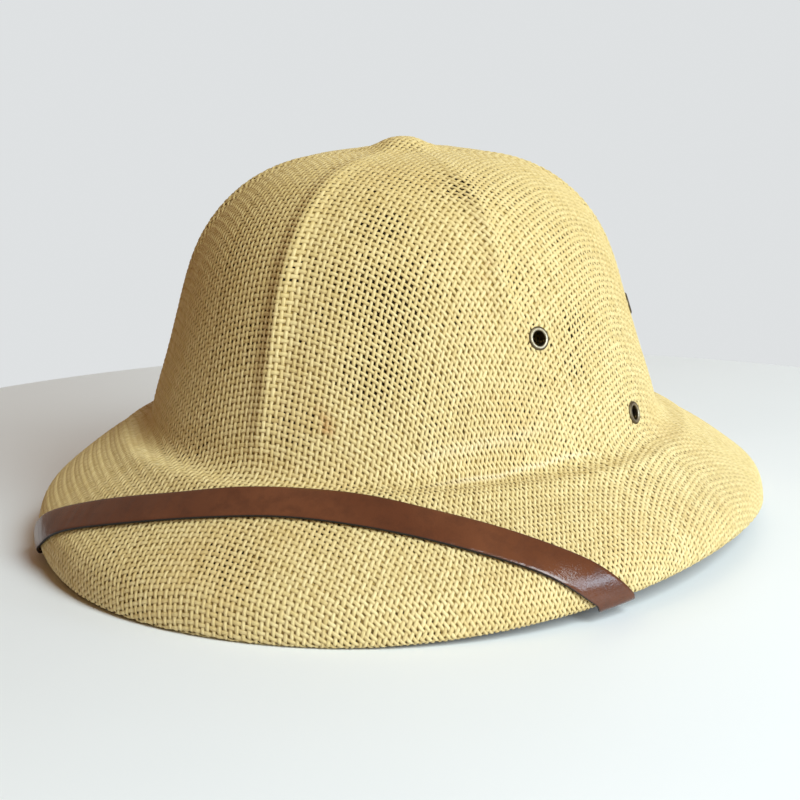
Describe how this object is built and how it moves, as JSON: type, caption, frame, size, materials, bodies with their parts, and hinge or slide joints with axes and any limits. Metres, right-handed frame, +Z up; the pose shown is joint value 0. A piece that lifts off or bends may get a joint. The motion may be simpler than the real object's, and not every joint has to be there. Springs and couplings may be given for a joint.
{
  "type": "sun helmet",
  "caption": "Woven straw sun helmet with a ribbed dome crown, a sloping brim, ventilation eyelets and a leather strap folded over the brim's front.",
  "frame": {"origin": "on the ground under the middle of the hat as it rests on its brim", "axes": "+Z up through the crown; -Y towards the front of the hat; +X to the right as seen from the front"},
  "size_m": [0.2854, 0.3269, 0.1585],
  "materials": {
    "straw": "stiff plain-woven straw cloth, dry, golden tan",
    "leather": "smooth semi-gloss dark brown with black cut edges",
    "eyelet_metal": "antiqued, slightly worn",
    "rivet_metal": "dull nickelled"
  },
  "bodies": {
    "root": {"straw_shell": "straw", "chin_strap": "leather", "eyelet_right_front": "eyelet_metal", "eyelet_right_low": "eyelet_metal", "eyelet_right_back": "eyelet_metal", "eyelet_left_front": "eyelet_metal", "eyelet_left_low": "eyelet_metal", "eyelet_left_back": "eyelet_metal", "strap_rivet_left": "rivet_metal", "strap_rivet_right": "rivet_metal"}
  },
  "joints": []
}
